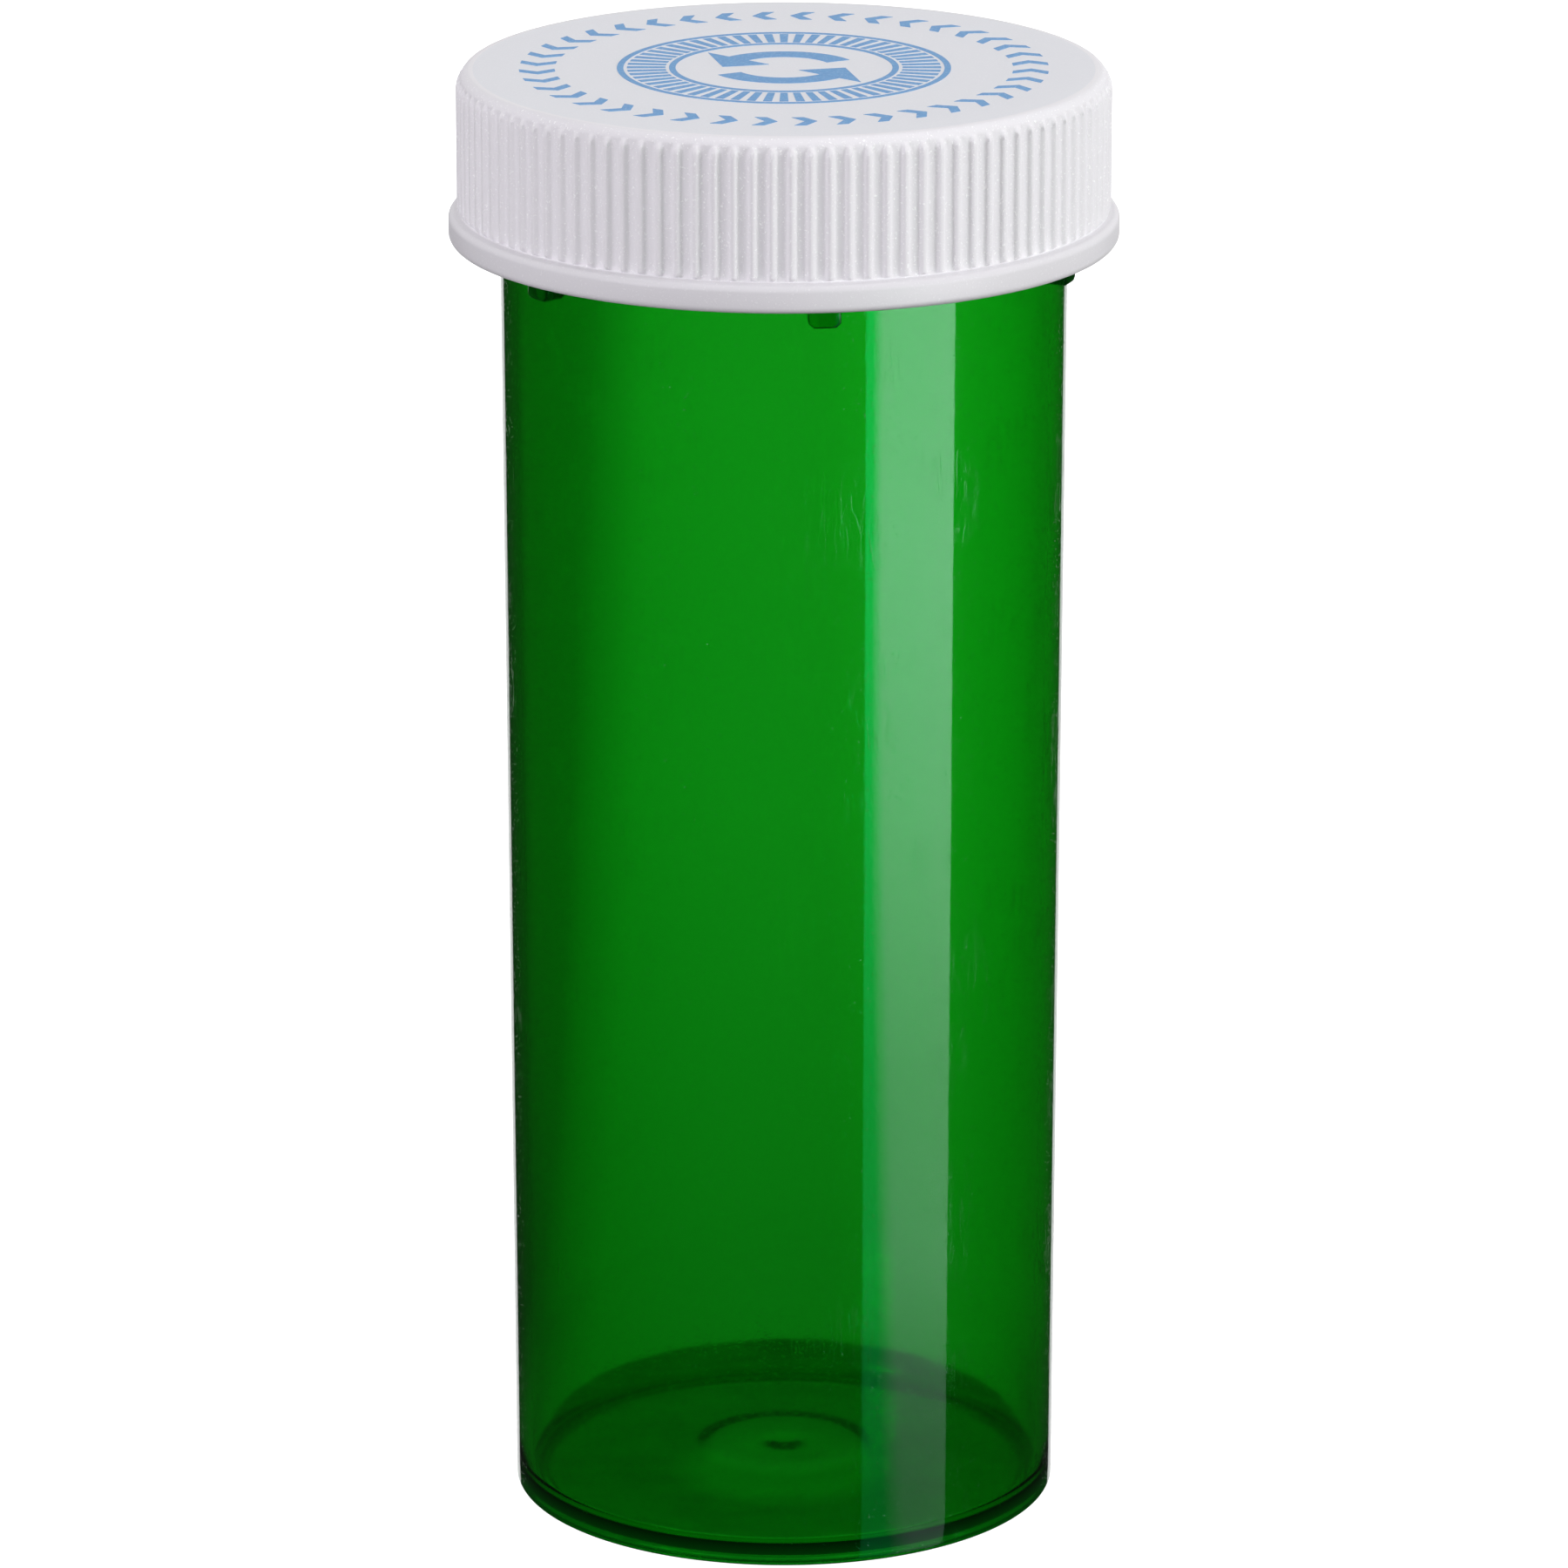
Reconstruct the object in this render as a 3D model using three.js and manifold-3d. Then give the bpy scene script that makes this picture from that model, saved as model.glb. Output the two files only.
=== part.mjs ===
// A prescription vial in millimetres, +Z up, front towards -Y, origin at the centre of the base.
//
// Three pieces: the green vial with six locking hooks under its rim, the ribbed push-and-turn cap,
// and the resilient liner that plugs the mouth and springs the cap up against the hooks.
// The cap is drawn pushed home and not yet turned: its lugs stand in the gaps between the hooks.
// It locks when it turns clockwise by lockTurn and rises by lockRise, and lifts off from where it is.
// Angles round the axis are in degrees from the front, counter-clockwise seen from above.
import * as THREE from "three";
import { mergeVertices } from "three/addons/utils/BufferGeometryUtils.js";
import Module from "manifold-3d";

const wasm = await Module();
wasm.setup();

// Vial
const vialHeight = 102.0;
const vialBaseRadius = 19.48; // outside, at the foot
const vialNeckRadius = 20.03; // outside, at the rim
const vialWall = 1.15;
const footRound = 0.45;
const rimRound = 0.35;
const standRingWidth = 1.7; // flat ring that the vial stands on
const pushUp = 1.9; // height of the domed recess under the middle of the floor
const recessLip = 0.4; // and at its edge
const floorThickness = 0.9;
const floorCorner = 1.0; // radius where floor and wall meet inside
const gateWellRadius = 6.4; // shallow well under the floor, round the moulding gate
const gateWellDepth = 0.3;

// Locking hooks: a stop leg, a bar and a retaining tooth each
const hookCount = 6;
const hookReach = 1.57; // how far a hook stands out from the vial's neck
const hookRoot = 0.5; // how deep it is rooted in the wall
const legAngle = 7.45; // centre of the leg nearest the front
const legWidth = 5.8; // degrees
const legDrop = 1.5; // below the cap's bottom edge
const legRound = 0.45;
const barThickness = 1.35;
const pocketSlack = 0.8; // degrees on each side of a lug in its pocket
const toothTip = 2.4; // degrees of flat tip
const toothRamp = 6; // degrees of sloping entry

// Cap
const capHeight = 12.07;
const ceilingThickness = 1.3;
const skirtWall = 0.85; // from the bore to the bottom of the grooves
const ribCount = 108;
const ribHeight = 0.3;
const ribAngle = 1.35; // centre of the rib nearest the front
const crestShare = 0.5; // of the pitch, at a rib's crest
const rootShare = 0.2; // of the pitch, at the bottom of a groove
const flangeHeight = 2.0;
const flangeReach = 0.6; // beyond the ribs
const flangeRound = 0.5;
const shoulderDrop = 2.06;
const shoulderInset = 1.05;
const shoulderOver = 0.05; // the shoulder's curve starts this far outside the crests
const lugHeight = 1.4;
const lugWidth = 9.6; // degrees
const lugAboveEdge = 0.5; // from the cap's bottom edge
const beadReach = 0.75; // how far the liner's retaining beads stand in from the bore
const beadHeight = 0.5;
const beadWidth = 34; // degrees

// Liner
const linerPressed = 1.4; // between rim and ceiling with the cap pushed home
const linerDisc = 0.8;
const plugDepth = 2.6;
const plugWall = 0.9;
const plugTaper = 0.5;
const springRingRadius = 14.5;
const springRingWidth = 1.2;
const springRingLean = 1.0;

// Clearances
const hookToSkirt = 0.25;
const lugToNeck = 0.35;
const lugToTooth = 0.18; // with the cap pushed home
const lugToBar = 0.15; // with the cap locked
const lockRise = 0.9;
const passAngle = 2; // degrees between a lug and the hook beside it before the turn
const plugToMouth = 0.1;
const linerToRim = 0.05;
const linerToCeiling = 0.05;
const linerToSkirt = 0.5;
const linerToBead = 0.15;

// Facets
const roundSteps = 72;
const capSteps = ribCount;
const cornerSteps = 3;
const domeSteps = 5;

// Worked-out sizes
const pitchAngle = 360 / hookCount;
const hookRadius = vialNeckRadius + hookReach;
const mouthRadius = vialNeckRadius - vialWall;
const boreRadius = hookRadius + hookToSkirt;
const grooveRadius = boreRadius + skirtWall;
const ribRadius = grooveRadius + ribHeight;
const flangeRadius = ribRadius + flangeReach;
const lugTipRadius = vialNeckRadius + lugToNeck;
const ceilingZ = vialHeight + linerPressed;
const capTopZ = ceilingZ + ceilingThickness;
const capEdgeZ = capTopZ - capHeight;
const lugLowZ = capEdgeZ + lugAboveEdge;
const lugTopZ = lugLowZ + lugHeight;
const toothTipZ = lugTopZ + lugToTooth;
const barLowZ = lugTopZ + lockRise + lugToBar;
const barTopZ = barLowZ + barThickness;
const legLowZ = capEdgeZ - legDrop;
const legEndAngle = legAngle + legWidth / 2;
const toothAngle = legEndAngle + lugWidth + 2 * pocketSlack;
const barEndAngle = toothAngle + toothTip + toothRamp;
const lockedLugAngle = legEndAngle + pocketSlack + lugWidth / 2;
const openLugAngle = barEndAngle + passAngle + lugWidth / 2;
const lockTurn = openLugAngle - lockedLugAngle;

const radians = (degrees) => THREE.MathUtils.degToRad(degrees);

// Points of a quarter or other arc of an ellipse, from one angle to another.
function arc(centreX, centreY, radiusX, radiusY, from, to, steps = cornerSteps) {
  const curve = new THREE.EllipseCurve(
    centreX, centreY, radiusX, radiusY, radians(from), radians(to), to < from,
  );
  return curve.getPoints(steps);
}

const at = (radius, height) => new THREE.Vector2(radius, height);

// A profile of radius and height turned about Z, its first step at the front.
function turned(profile, steps = roundSteps) {
  return new THREE.LatheGeometry(profile, steps).rotateX(Math.PI / 2);
}

// A block between two radii, two angles and two heights.
function sector(innerRadius, outerRadius, fromAngle, toAngle, lowZ, topZ) {
  const from = radians(fromAngle - 90);
  const to = radians(toAngle - 90);
  const shape = new THREE.Shape();
  shape.absarc(0, 0, outerRadius, from, to, false);
  shape.absarc(0, 0, innerRadius, to, from, true);
  const curveSegments = Math.max(2, Math.round((toAngle - fromAngle) / 8));
  const options = { depth: topZ - lowZ, bevelEnabled: false, curveSegments };
  return new THREE.ExtrudeGeometry(shape, options).translate(0, 0, lowZ);
}

// A side outline (across, height) pushed outwards from one radius to another.
function pushedOut(shape, innerRadius, outerRadius) {
  const options = { depth: outerRadius - innerRadius, bevelEnabled: false, curveSegments: 3 };
  return new THREE.ExtrudeGeometry(shape, options).translate(0, 0, innerRadius).rotateX(Math.PI / 2);
}

// A closed geometry as a solid for joining and cutting.
function solidOf(geometry) {
  const bare = geometry.clone();
  bare.deleteAttribute("normal");
  bare.deleteAttribute("uv");
  const merged = mergeVertices(bare, 1e-4);
  const corners = merged.index.array;
  const kept = [];
  for (let i = 0; i < corners.length; i += 3) {
    const [a, b, c] = corners.slice(i, i + 3);
    if (a !== b && b !== c && c !== a) kept.push(a, b, c);
  }
  const vertProperties = merged.attributes.position.array;
  return new wasm.Manifold(new wasm.Mesh({ numProp: 3, vertProperties, triVerts: new Uint32Array(kept) }));
}

function joined(solid, geometries) {
  return geometries.reduce((sum, geometry) => sum.add(solidOf(geometry)), solid);
}

function geometryOf(solid) {
  const mesh = solid.getMesh();
  const geometry = new THREE.BufferGeometry();
  geometry.setAttribute("position", new THREE.BufferAttribute(mesh.vertProperties, 3));
  geometry.setIndex(new THREE.BufferAttribute(mesh.triVerts, 1));
  geometry.computeVertexNormals();
  return geometry;
}

// Copies of some geometries, one set for each hook.
function aroundAxis(geometries) {
  const copies = [];
  for (let i = 0; i < hookCount; i++) {
    for (const geometry of geometries) copies.push(geometry.clone().rotateZ(radians(i * pitchAngle)));
  }
  return copies;
}

// ---- Vial ----

const wallSlope = (vialNeckRadius - vialBaseRadius) / vialHeight;
const outsideRadius = (z) => vialBaseRadius + wallSlope * z;
const insideRadius = (z) => outsideRadius(z) - vialWall;

const recessRadius = vialBaseRadius - footRound - standRingWidth;

// Height of the domed recess at a radius.
function domeZ(radius) {
  const share = Math.min(1, radius / recessRadius);
  return recessLip + (pushUp - recessLip) * (1 - share * share);
}

// The dome's profile between two radii, raised by a thickness.
function dome(fromRadius, toRadius, thickness) {
  const profile = [];
  for (let i = 0; i <= domeSteps; i++) {
    const radius = fromRadius + ((toRadius - fromRadius) * i) / domeSteps;
    profile.push(at(radius, domeZ(radius) + thickness));
  }
  return profile;
}

function vialTube() {
  const cornerZ = recessLip + floorThickness + floorCorner;
  const cornerRadius = insideRadius(cornerZ) - floorCorner;
  const wellZ = domeZ(gateWellRadius) + gateWellDepth;
  return turned([
    at(0, wellZ),
    at(gateWellRadius, wellZ),
    ...dome(gateWellRadius, recessRadius, 0),
    at(recessRadius, 0),
    ...arc(vialBaseRadius - footRound, footRound, footRound, footRound, -90, 0),
    ...arc(vialNeckRadius - rimRound, vialHeight - rimRound, rimRound, rimRound, 0, 90),
    ...arc(mouthRadius + rimRound, vialHeight - rimRound, rimRound, rimRound, 90, 180),
    ...arc(cornerRadius, cornerZ, floorCorner, floorCorner, 0, -75),
    ...dome(cornerRadius, 0, floorThickness),
  ]);
}

function legShape() {
  const halfWidth = hookRadius * Math.sin(radians(legWidth / 2));
  const shape = new THREE.Shape();
  shape.moveTo(halfWidth, barTopZ);
  shape.lineTo(-halfWidth, barTopZ);
  shape.lineTo(-halfWidth, legLowZ + legRound);
  shape.absarc(-halfWidth + legRound, legLowZ + legRound, legRound, Math.PI, 1.5 * Math.PI, false);
  shape.absarc(halfWidth - legRound, legLowZ + legRound, legRound, 1.5 * Math.PI, 2 * Math.PI, false);
  shape.closePath();
  return shape;
}

// The tooth hangs from the bar: upright towards the pocket, sloping towards the entry.
function toothShape() {
  const across = (degrees) => hookRadius * Math.sin(radians(degrees));
  const half = (toothTip + toothRamp) / 2;
  const rootZ = barLowZ + barThickness / 2;
  const shape = new THREE.Shape();
  shape.moveTo(across(-half), rootZ);
  shape.lineTo(across(-half), toothTipZ);
  shape.lineTo(across(-half + toothTip), toothTipZ);
  shape.lineTo(across(half), barLowZ);
  shape.lineTo(across(half), rootZ);
  shape.closePath();
  return shape;
}

function hookParts() {
  const rootRadius = vialNeckRadius - hookRoot;
  const midTooth = toothAngle + (toothTip + toothRamp) / 2;
  const beyond = hookRadius + 1;
  return [
    pushedOut(legShape(), rootRadius, beyond).rotateZ(radians(legAngle)),
    pushedOut(toothShape(), rootRadius, beyond).rotateZ(radians(midTooth)),
    sector(rootRadius, beyond, legAngle, barEndAngle, barLowZ, barTopZ),
  ];
}

// All hooks, trimmed to the round face they share.
function hooks() {
  const room = turned([
    at(0, legLowZ - 1),
    at(hookRadius, legLowZ - 1),
    at(hookRadius, barTopZ + 1),
    at(0, barTopZ + 1),
  ]);
  const [first, ...others] = aroundAxis(hookParts());
  return joined(solidOf(first), others).intersect(solidOf(room));
}

function vialGeometry() {
  return geometryOf(solidOf(vialTube()).add(hooks()));
}

// ---- Cap ----

// The smooth rim below the ribs.
function flange() {
  const topZ = capEdgeZ + flangeHeight;
  const roundRadius = flangeRadius - flangeRound;
  return turned([
    at(0, capEdgeZ),
    ...arc(roundRadius, capEdgeZ + flangeRound, flangeRound, flangeRound, -90, 0),
    ...arc(roundRadius, topZ - flangeRound, flangeRound, flangeRound, 0, 90),
    at(0, topZ),
  ], capSteps);
}

// Each rib is a flat crest with sloping flanks, and a groove floor lies between two ribs.
function ribOutline() {
  const pitch = 360 / ribCount;
  const point = (radius, degrees) => {
    const angle = radians(degrees - 90);
    return at(radius * Math.cos(angle), radius * Math.sin(angle));
  };
  const outline = [];
  for (let i = 0; i < ribCount; i++) {
    const centre = ribAngle + i * pitch;
    outline.push(point(grooveRadius, centre - (pitch * (1 - rootShare)) / 2));
    outline.push(point(ribRadius, centre - (pitch * crestShare) / 2));
    outline.push(point(ribRadius, centre + (pitch * crestShare) / 2));
    outline.push(point(grooveRadius, centre + (pitch * (1 - rootShare)) / 2));
  }
  return new THREE.Shape(outline);
}

function ribs() {
  const lowZ = capEdgeZ + flangeHeight / 2;
  const options = { depth: capTopZ + 1 - lowZ, bevelEnabled: false };
  return new THREE.ExtrudeGeometry(ribOutline(), options).translate(0, 0, lowZ);
}

// The shoulder rounds the top edge, so the grooves run out in it. One facet covers one rib.
function shoulder() {
  const radius = ribRadius + shoulderOver;
  return turned([
    at(0, capEdgeZ),
    at(radius, capEdgeZ),
    ...arc(radius - shoulderInset, capTopZ - shoulderDrop, shoulderInset, shoulderDrop, 0, 90, 4),
    at(0, capTopZ),
  ], capSteps).rotateZ(radians(ribAngle + 180 / ribCount));
}

function capHollow() {
  const below = capEdgeZ - 1;
  const corner = skirtWall / 2;
  return turned([
    at(0, below),
    at(boreRadius, below),
    ...arc(boreRadius - corner, ceilingZ - corner, corner, corner, 0, 90),
    at(0, ceilingZ),
  ]);
}

function lug() {
  const root = boreRadius + skirtWall / 2;
  const half = lugWidth / 2;
  return sector(lugTipRadius, root, openLugAngle - half, openLugAngle + half, lugLowZ, lugTopZ);
}

// Beads under the edge of the liner, between the lugs so that the mould can be drawn.
function bead() {
  const root = boreRadius + skirtWall / 2;
  const middle = openLugAngle + pitchAngle / 2;
  const topZ = vialHeight + linerToRim - linerToBead;
  const half = beadWidth / 2;
  return sector(boreRadius - beadReach, root, middle - half, middle + half, topZ - beadHeight, topZ);
}

function capGeometry() {
  const ribbed = solidOf(ribs()).intersect(solidOf(shoulder()));
  const shell = ribbed.add(solidOf(flange())).subtract(solidOf(capHollow()));
  return geometryOf(joined(shell, aroundAxis([lug(), bead()])));
}

// ---- Liner ----

function linerGeometry() {
  const lowZ = vialHeight + linerToRim;
  const topZ = lowZ + linerDisc;
  const springZ = ceilingZ - linerToCeiling;
  const edgeRadius = boreRadius - linerToSkirt;
  const plugRadius = mouthRadius - plugToMouth;
  const inner = plugRadius - plugWall;
  const springIn = springRingRadius - springRingWidth;
  return turned([
    at(0, lowZ),
    at(inner, lowZ),
    at(inner, lowZ - plugDepth),
    at(plugRadius - plugTaper, lowZ - plugDepth),
    at(plugRadius, lowZ - plugDepth / 2),
    at(plugRadius, lowZ),
    at(edgeRadius, lowZ),
    at(edgeRadius, topZ),
    at(springRingRadius, topZ),
    at(springRingRadius + springRingLean, springZ),
    at(springIn + springRingLean, springZ),
    at(springIn, topZ),
    at(0, topZ),
  ]);
}

// ---- Assembly ----

function piece(name, geometry, finish) {
  const mesh = new THREE.Mesh(geometry, new THREE.MeshStandardMaterial(finish));
  mesh.name = name;
  return mesh;
}

const greenPlastic = { color: 0x0b8a18, roughness: 0.12, metalness: 0, transparent: true, opacity: 0.82 };
const whitePlastic = { color: 0xe2e0e6, roughness: 0.5, metalness: 0 };
const naturalPlastic = { color: 0xe9e8e0, roughness: 0.4, metalness: 0 };

const prescriptionVial = new THREE.Group();
prescriptionVial.add(
  piece("vial", vialGeometry(), greenPlastic),
  piece("cap", capGeometry(), whitePlastic),
  piece("liner", linerGeometry(), naturalPlastic),
);

export default prescriptionVial;
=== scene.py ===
import math

import bmesh
import bpy
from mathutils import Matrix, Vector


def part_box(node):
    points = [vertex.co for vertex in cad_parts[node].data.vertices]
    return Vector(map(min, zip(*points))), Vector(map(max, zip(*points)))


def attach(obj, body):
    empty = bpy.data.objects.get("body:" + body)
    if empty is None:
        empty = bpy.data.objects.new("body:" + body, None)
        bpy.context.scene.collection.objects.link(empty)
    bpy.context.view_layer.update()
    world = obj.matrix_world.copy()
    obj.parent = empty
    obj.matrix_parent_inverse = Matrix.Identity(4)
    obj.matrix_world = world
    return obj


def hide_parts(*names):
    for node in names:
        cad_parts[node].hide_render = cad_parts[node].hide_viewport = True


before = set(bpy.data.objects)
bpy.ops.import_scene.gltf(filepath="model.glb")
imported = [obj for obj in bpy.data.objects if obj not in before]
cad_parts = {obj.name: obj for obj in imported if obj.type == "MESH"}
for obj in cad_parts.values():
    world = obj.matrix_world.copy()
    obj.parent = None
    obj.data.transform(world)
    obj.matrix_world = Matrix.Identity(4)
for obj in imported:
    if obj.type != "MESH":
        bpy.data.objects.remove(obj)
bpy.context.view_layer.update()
mm = 0.001


def angleOf(point):  # degrees from the front, counter-clockwise seen from above
    return math.degrees(math.atan2(point[0], -point[1])) % 360


def radiusOf(point):
    return math.hypot(point[0], point[1])


def onCircle(radius, degrees, height):
    turn = math.radians(degrees)
    return (radius * math.sin(turn), -radius * math.cos(turn), height)


def near(value, wanted, slack=0.02 * mm):
    return abs(value - wanted) < slack


def startDisc(name, vertices, radius, height, turn=0.0):
    bpy.ops.object.select_all(action="DESELECT")
    bpy.ops.mesh.primitive_circle_add(vertices=vertices, radius=radius, fill_type="TRIFAN",
                                      location=(0, 0, height), rotation=(0, 0, math.radians(turn)))
    piece = bpy.context.object
    piece.name = name
    bpy.ops.object.transform_apply(location=True, rotation=True, scale=True)
    bpy.ops.object.mode_set(mode="EDIT")
    bpy.ops.mesh.select_all(action="SELECT")
    bpy.ops.mesh.region_to_loop()  # only the rim of the disc stays selected
    return piece


def pullRings(start, rings):  # draws the selected ring on through each radius and height
    radius, height = start
    for nextRadius, nextHeight in rings:
        step = {"value": (0, 0, nextHeight - height)}
        bpy.ops.mesh.extrude_region_move(TRANSFORM_OT_translate=step)
        grow = nextRadius / radius
        bpy.ops.transform.resize(value=(grow, grow, 1), center_override=(0, 0, 0))
        radius, height = nextRadius, nextHeight


def roundOff(centre, size, fromAngle, toAngle, steps):  # ring list for an elliptic corner
    rings = []
    for step in range(steps + 1):
        turn = math.radians(fromAngle + (toAngle - fromAngle) * step / steps)
        rings.append((centre[0] + size[0] * math.cos(turn), centre[1] + size[1] * math.sin(turn)))
    return rings


def straight(fromRing, toRing, steps):  # the rings between two, without the first
    rings = []
    for step in range(1, steps + 1):
        share = step / steps
        rings.append((fromRing[0] + (toRing[0] - fromRing[0]) * share,
                      fromRing[1] + (toRing[1] - fromRing[1]) * share))
    return rings


def pickVerts(piece, wanted):
    bpy.ops.mesh.select_mode(type="VERT")
    bpy.ops.mesh.select_all(action="DESELECT")
    mesh = bmesh.from_edit_mesh(piece.data)
    for vert in mesh.verts:
        if wanted(vert.co):
            vert.select_set(True)
    mesh.select_flush_mode()
    bmesh.update_edit_mesh(piece.data)


def pickFaces(piece, wanted):
    bpy.ops.mesh.select_mode(type="FACE")
    bpy.ops.mesh.select_all(action="DESELECT")
    mesh = bmesh.from_edit_mesh(piece.data)
    for face in mesh.faces:
        if wanted(face.calc_center_median(), face.normal):
            face.select_set(True)
    bmesh.update_edit_mesh(piece.data)


def pushRadius(grow):  # moves the picked geometry towards or away from the axis
    bpy.ops.transform.resize(value=(grow, grow, 1), center_override=(0, 0, 0))


def closePiece(piece, smooth=40):
    bpy.ops.mesh.select_mode(type="VERT")
    bpy.ops.mesh.select_all(action="SELECT")
    bpy.ops.mesh.normals_make_consistent(inside=False)
    bpy.ops.object.mode_set(mode="OBJECT")
    bpy.ops.object.shade_smooth_by_angle(angle=math.radians(smooth))


def settle(piece, body, node=None):
    if node:
        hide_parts(node)
    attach(piece, body)


class Wire:  # a socket that takes part in sums

    def __init__(self, finish, socket):
        self.finish = finish
        self.socket = socket

    def sum(self, operation, first, second=0.0, clamp=False):
        settings = {"operation": operation, "use_clamp": clamp}
        return self.finish.node("ShaderNodeMath", settings, {0: first, 1: second})

    def __add__(self, other):
        return self.sum("ADD", self, other)

    def __radd__(self, other):
        return self.sum("ADD", other, self)

    def __sub__(self, other):
        return self.sum("SUBTRACT", self, other)

    def __rsub__(self, other):
        return self.sum("SUBTRACT", other, self)

    def __mul__(self, other):
        return self.sum("MULTIPLY", self, other)

    def __rmul__(self, other):
        return self.sum("MULTIPLY", other, self)

    def __truediv__(self, other):
        return self.sum("DIVIDE", self, other)

    def __pow__(self, other):
        return self.sum("POWER", self, other)

    def __gt__(self, other):
        return self.sum("GREATER_THAN", self, other)

    def __lt__(self, other):
        return self.sum("LESS_THAN", self, other)

    def clamped(self):
        return self.sum("ADD", self, 0.0, clamp=True)

    def size(self):
        return self.sum("ABSOLUTE", self)


class Finish:  # one material, or the room, and its nodes

    def __init__(self, name, room=False):
        self.material = bpy.data.worlds.new(name) if room else bpy.data.materials.new(name)
        self.material.use_nodes = True
        self.tree = self.material.node_tree
        self.tree.nodes.clear()
        self.output = self.tree.nodes.new("ShaderNodeOutputWorld" if room else "ShaderNodeOutputMaterial")

    def node(self, kind, settings=None, sockets=None, out=0):
        made = self.tree.nodes.new(kind)
        for name, value in (settings or {}).items():
            if name == "stops":
                while len(made.color_ramp.elements) < len(value):
                    made.color_ramp.elements.new(0.5)
                for element, (place, colour) in zip(made.color_ramp.elements, value):
                    element.position = place
                    element.color = colour
            else:
                setattr(made, name, value)
        for name, value in (sockets or {}).items():
            if isinstance(value, Wire):
                self.tree.links.new(value.socket, made.inputs[name])
            else:
                made.inputs[name].default_value = value
        return Wire(self, made.outputs[out])

    def place(self, scale=(1, 1, 1), turn=(0, 0, 0)):  # object coordinates, centred on the axis
        spot = self.node("ShaderNodeTexCoord", out="Object")
        return self.node("ShaderNodeMapping", None, {"Vector": spot, "Scale": scale, "Rotation": turn})

    def noise(self, vector, scale, detail=2.0, roughness=0.5, distortion=0.0):
        return self.node("ShaderNodeTexNoise", None, {
            "Vector": vector, "Scale": scale, "Detail": detail,
            "Roughness": roughness, "Distortion": distortion}, out="Fac")

    def shine(self, colour, strength, kind="ShaderNodeEmission"):
        glow = self.node(kind, None, {"Color": colour, "Strength": strength})
        self.tree.links.new(glow.socket, self.output.inputs["Surface"])

    def mixed(self, share, first, second):
        return self.node("ShaderNodeMix", {"data_type": "RGBA"}, {0: share, 6: first, 7: second}, out=2)

    def bump(self, height, strength, distance):
        sockets = {"Height": height, "Strength": strength, "Distance": distance}
        return self.node("ShaderNodeBump", None, sockets)

    def ramp(self, value, stops):
        return self.node("ShaderNodeValToRGB", {"stops": stops}, {"Fac": value})

    def axes(self, vector):
        parts = self.node("ShaderNodeSeparateXYZ", None, {"Vector": vector})
        made = parts.socket.node
        return [Wire(self, made.outputs[i]) for i in range(3)]

    def surface(self, sockets):
        shader = self.node("ShaderNodeBsdfPrincipled", None, sockets)
        self.tree.links.new(shader.socket, self.output.inputs["Surface"])

    def openBelow(self):  # the sheet can't be seen from its underside
        shader = Wire(self, self.output.inputs["Surface"].links[0].from_socket)
        below = self.node("ShaderNodeNewGeometry", out="Backfacing")
        clear = self.node("ShaderNodeBsdfTransparent")
        both = self.node("ShaderNodeMixShader", None, {0: below, 1: shader, 2: clear})
        self.tree.links.new(both.socket, self.output.inputs["Surface"])

    def volume(self, kind, sockets):
        inside = self.node(kind, None, sockets)
        self.tree.links.new(inside.socket, self.output.inputs["Volume"])

    def cover(self, piece):
        piece.data.materials.clear()
        piece.data.materials.append(self.material)


view = {"distance": 0.69668, "aim": 0.052358, "rise": 16.528, "lens": 223.55}

rise = math.radians(view["rise"])
bpy.ops.object.camera_add(
    location=(0, -view["distance"] * math.cos(rise), view["aim"] + view["distance"] * math.sin(rise)),
    rotation=(math.pi / 2 - rise, 0, 0))
camera = bpy.context.object
camera.data.lens = view["lens"]
camera.data.sensor_width = 36
camera.data.clip_start = 0.01
camera.data.clip_end = 20
bpy.context.scene.camera = camera
print("camera set")


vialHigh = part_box("vial")[1]
capLow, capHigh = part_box("cap")
linerLow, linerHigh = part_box("liner")

vial = {
    "sides": 360,
    "turn": 0.55,  # puts face borders where the hooks begin
    "height": vialHigh.z,
    "footRadius": 19.48 * mm,
    "neckRadius": 20.03 * mm,
    "wall": 1.15 * mm,
    "footRound": 0.45 * mm,
    "rimRound": 0.35 * mm,
    "standRing": 1.7 * mm,
    "pushUp": 1.9 * mm,  # height of the domed recess in the middle
    "recessLip": 0.4 * mm,  # and at its edge
    "floor": 0.9 * mm,
    "corner": 1.0 * mm,
    "wellRadius": 6.4 * mm,
    "wellDepth": 0.3 * mm,
    "gateRadius": 1.1 * mm,
    "gateHeight": 0.2 * mm,
    "lipRound": 0.15 * mm,
    "hookRadius": 21.6 * mm,
    "hooks": 6,
    "legFrom": 4.55,
    "legTo": 10.55,
    "toothFrom": 21.55,
    "toothTo": 23.55,
    "barTo": 29.55,
    "legLow": 91.13 * mm,
    "toothLow": 94.71 * mm,
    "barLow": 95.58 * mm,
    "barTop": 96.93 * mm,
    "legRound": 0.32 * mm,
    "edgeRound": 0.13 * mm,
    "outside": 19.5 * mm,  # what lies farther out is on the outside of the wall
    "hookFace": 21.4 * mm,  # and this far out, on the face of a hook
    "angleSlack": 0.2,
    "toothStep": 0.08 * mm,  # what is left of a tooth where its slope meets the bar
}


def vialOutside(height):
    share = height / vial["height"]
    return vial["footRadius"] + (vial["neckRadius"] - vial["footRadius"]) * share


def hookAngle(point):
    return angleOf(point) % (360 / vial["hooks"])


def domeHeight(radius, recess):
    share = min(1.0, radius / recess)
    return vial["recessLip"] + (vial["pushUp"] - vial["recessLip"]) * (1 - share * share)


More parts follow.
